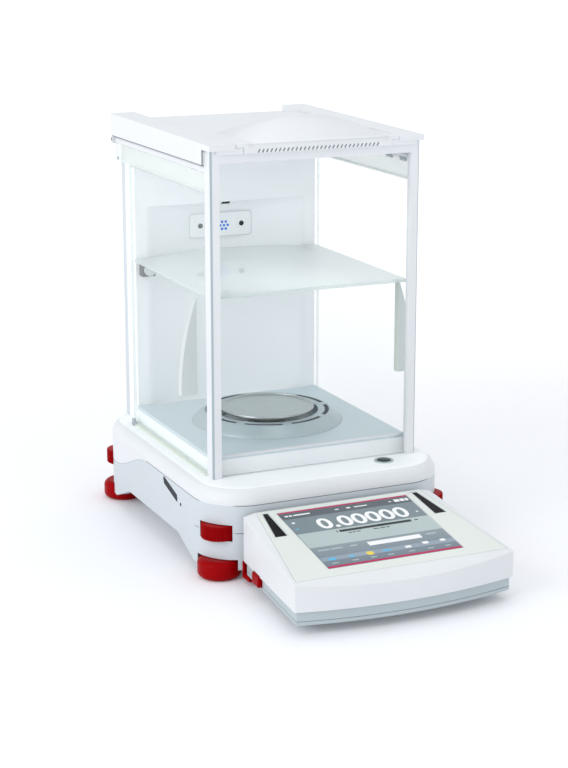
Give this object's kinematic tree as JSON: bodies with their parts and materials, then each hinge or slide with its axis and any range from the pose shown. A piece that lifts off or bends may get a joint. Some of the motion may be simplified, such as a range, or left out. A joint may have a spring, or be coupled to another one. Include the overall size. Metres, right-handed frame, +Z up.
{
  "type": "semi-micro balance",
  "caption": "Laboratory balance on levelling feet with a round pan in a glass draught shield, sliding doors, an ionizer in the rear column and a docked touch terminal.",
  "frame": {"origin": "on the bench, under the middle of the box round the whole object", "axes": "+Z up, -Y towards the user and the terminal, +X to the user's right"},
  "size_m": [0.2192, 0.3962, 0.3555],
  "materials": {
    "white_housing": "fine satin moulded white",
    "grey_housing": "fine satin moulded pale grey",
    "red_trim": "satin moulded red",
    "clear_glass": "clear polished float glass",
    "tinted_glass": "clear glass with a green edge tint",
    "shelf_glass": "frosted pale plate",
    "floor_metal": "blue-grey satin metal",
    "ring_metal": "fine brushed metal",
    "pan_steel": "satin stainless steel",
    "cell_metal": "machined aluminium",
    "steel": "turned steel",
    "brass": "turned brass",
    "copper_coil": "wound enamelled wire",
    "board": "glass fibre board with parts",
    "black_plastic": "matt black",
    "dark_window": "polished dark window",
    "screen": "touch glass over a lit screen",
    "handle_plastic": "translucent pale grey",
    "rubber": "soft rubber",
    "bubble": "dark liquid level"
  },
  "bodies": {
    "base": {"base_tray": "grey_housing", "base_shell": "grey_housing", "top_cover": "white_housing", "base_screws": "steel", "side_sensor_windows": "dark_window", "level_ring": "ring_metal", "level_bubble": "bubble", "power_inlet": "black_plastic", "data_sockets": "ring_metal", "main_board": "board", "cell_block": "cell_metal", "magnet_pot": "steel", "position_sensor": "board", "lifter_motor": "black_plastic", "floor_plate": "floor_metal", "draught_ring": "ring_metal", "front_frame": "white_housing", "front_glass": "clear_glass", "rear_wall": "white_housing", "rear_cover": "grey_housing", "ionizer_plate": "white_housing", "ionizer_nozzles": "ring_metal", "lid_frame": "white_housing", "shelf": "shelf_glass", "shelf_brackets": "black_plastic", "dock_hooks": "red_trim"},
    "top_door": {"top_door": "white_housing"},
    "left_flap": {"left_door_rail": "white_housing", "left_upper_glass": "tinted_glass"},
    "left_door": {"left_door_glass": "clear_glass", "left_door_handle": "handle_plastic"},
    "right_flap": {"right_door_rail": "white_housing", "right_upper_glass": "tinted_glass"},
    "right_door": {"right_door_glass": "clear_glass", "right_door_handle": "handle_plastic"},
    "terminal": {"terminal_top": "white_housing", "terminal_bottom": "grey_housing", "touch_glass": "screen", "display_module": "black_plastic", "terminal_sensors": "dark_window", "terminal_feet": "rubber"},
    "left_release": {"left_release_button": "red_trim"},
    "right_release": {"right_release_button": "red_trim"},
    "wheel_front_left": {"wheel_front_left": "red_trim"},
    "foot_front_left": {"foot_front_left": "red_trim"},
    "wheel_front_right": {"wheel_front_right": "red_trim"},
    "foot_front_right": {"foot_front_right": "red_trim"},
    "wheel_rear_left": {"wheel_rear_left": "red_trim"},
    "foot_rear_left": {"foot_rear_left": "red_trim"},
    "wheel_rear_right": {"wheel_rear_right": "red_trim"},
    "foot_rear_right": {"foot_rear_right": "red_trim"},
    "pan_stem": {"pan_stem": "steel"},
    "weighing_pan": {"weighing_pan": "pan_steel"},
    "load_lever": {"load_lever": "cell_metal", "force_coil": "copper_coil"},
    "lifter_screw": {"lifter_screw": "brass"},
    "calibration_lifter": {"calibration_lifter": "white_housing", "calibration_weight": "steel"},
    "left_clamp": {"left_clamp_knob": "handle_plastic"},
    "right_clamp": {"right_clamp_knob": "handle_plastic"}
  },
  "joints": [
    {"name": "top_door_slide", "type": "slide", "parent": "base", "child": "top_door", "axis": [0, 1, 0], "range_m": [0, 0.14]},
    {"name": "left_flap_hinge", "type": "hinge", "parent": "base", "child": "left_flap", "pos_m": [-0.0875, 0.06615, 0.319], "axis": [0, 1, 0], "range_deg": [0, 90]},
    {"name": "left_door_slide", "type": "slide", "parent": "left_flap", "child": "left_door", "axis": [0, 1, 0], "range_m": [0, 0.15]},
    {"name": "right_flap_hinge", "type": "hinge", "parent": "base", "child": "right_flap", "pos_m": [0.0875, 0.06615, 0.319], "axis": [0, -1, 0], "range_deg": [0, 90]},
    {"name": "right_door_slide", "type": "slide", "parent": "right_flap", "child": "right_door", "axis": [0, 1, 0], "range_m": [0, 0.15]},
    {"name": "terminal_undock", "type": "slide", "parent": "base", "child": "terminal", "axis": [0, -1, 0], "range_m": [0, 0.06]},
    {"name": "left_release_press", "type": "slide", "parent": "terminal", "child": "left_release", "axis": [0.9966, -0.0818, 0], "range_m": [0, 0.0025], "stiffness_N_per_m": 800},
    {"name": "right_release_press", "type": "slide", "parent": "terminal", "child": "right_release", "axis": [-0.9966, -0.0818, 0], "range_m": [0, 0.0025], "stiffness_N_per_m": 800},
    {"name": "wheel_front_left_turn", "type": "hinge", "parent": "base", "child": "wheel_front_left", "pos_m": [-0.092, -0.04585, 0.0385], "axis": [0, 0, 1], "range_deg": [0, 1440]},
    {"name": "foot_front_left_reach", "type": "slide", "parent": "base", "child": "foot_front_left", "axis": [0, 0, -1], "range_m": [0, 0.005]},
    {"name": "wheel_front_right_turn", "type": "hinge", "parent": "base", "child": "wheel_front_right", "pos_m": [0.092, -0.04585, 0.0385], "axis": [0, 0, 1], "range_deg": [0, 1440]},
    {"name": "foot_front_right_reach", "type": "slide", "parent": "base", "child": "foot_front_right", "axis": [0, 0, -1], "range_m": [0, 0.005]},
    {"name": "wheel_rear_left_turn", "type": "hinge", "parent": "base", "child": "wheel_rear_left", "pos_m": [-0.092, 0.17815, 0.0385], "axis": [0, 0, 1], "range_deg": [0, 1440]},
    {"name": "foot_rear_left_reach", "type": "slide", "parent": "base", "child": "foot_rear_left", "axis": [0, 0, -1], "range_m": [0, 0.005]},
    {"name": "wheel_rear_right_turn", "type": "hinge", "parent": "base", "child": "wheel_rear_right", "pos_m": [0.092, 0.17815, 0.0385], "axis": [0, 0, 1], "range_deg": [0, 1440]},
    {"name": "foot_rear_right_reach", "type": "slide", "parent": "base", "child": "foot_rear_right", "axis": [0, 0, -1], "range_m": [0, 0.005]},
    {"name": "pan_travel", "type": "slide", "parent": "base", "child": "pan_stem", "axis": [0, 0, -1], "range_m": [0, 0.0003], "stiffness_N_per_m": 60000},
    {"name": "pan_lift_off", "type": "slide", "parent": "pan_stem", "child": "weighing_pan", "axis": [0, 0, 1], "range_m": [0, 0.06]},
    {"name": "lever_tilt", "type": "hinge", "parent": "base", "child": "load_lever", "pos_m": [0, 0.10215, 0.044], "axis": [1, 0, 0], "range_deg": [0, 0.5131]},
    {"name": "lifter_screw_turn", "type": "hinge", "parent": "base", "child": "lifter_screw", "pos_m": [0.043, 0.12215, 0.044], "axis": [0, 0, 1], "range_deg": [0, 720]},
    {"name": "calibration_lower", "type": "slide", "parent": "base", "child": "calibration_lifter", "axis": [0, 0, -1], "range_m": [0, 0.003]},
    {"name": "left_clamp_turn", "type": "hinge", "parent": "base", "child": "left_clamp", "pos_m": [-0.076, 0.14615, 0.2105], "axis": [0, 1, 0], "range_deg": [-360, 360]},
    {"name": "right_clamp_turn", "type": "hinge", "parent": "base", "child": "right_clamp", "pos_m": [0.076, 0.14615, 0.2105], "axis": [0, 1, 0], "range_deg": [-360, 360]}
  ],
  "couplings": [
    {"joint": "wheel_front_left_turn", "follows": "foot_front_left_reach", "rad_per_m": 5026.5},
    {"joint": "wheel_front_right_turn", "follows": "foot_front_right_reach", "rad_per_m": 5026.5},
    {"joint": "wheel_rear_left_turn", "follows": "foot_rear_left_reach", "rad_per_m": 5026.5},
    {"joint": "wheel_rear_right_turn", "follows": "foot_rear_right_reach", "rad_per_m": 5026.5},
    {"joint": "lever_tilt", "follows": "pan_travel", "rad_per_m": 29.851},
    {"joint": "lifter_screw_turn", "follows": "calibration_lower", "rad_per_m": 4188.8}
  ]
}
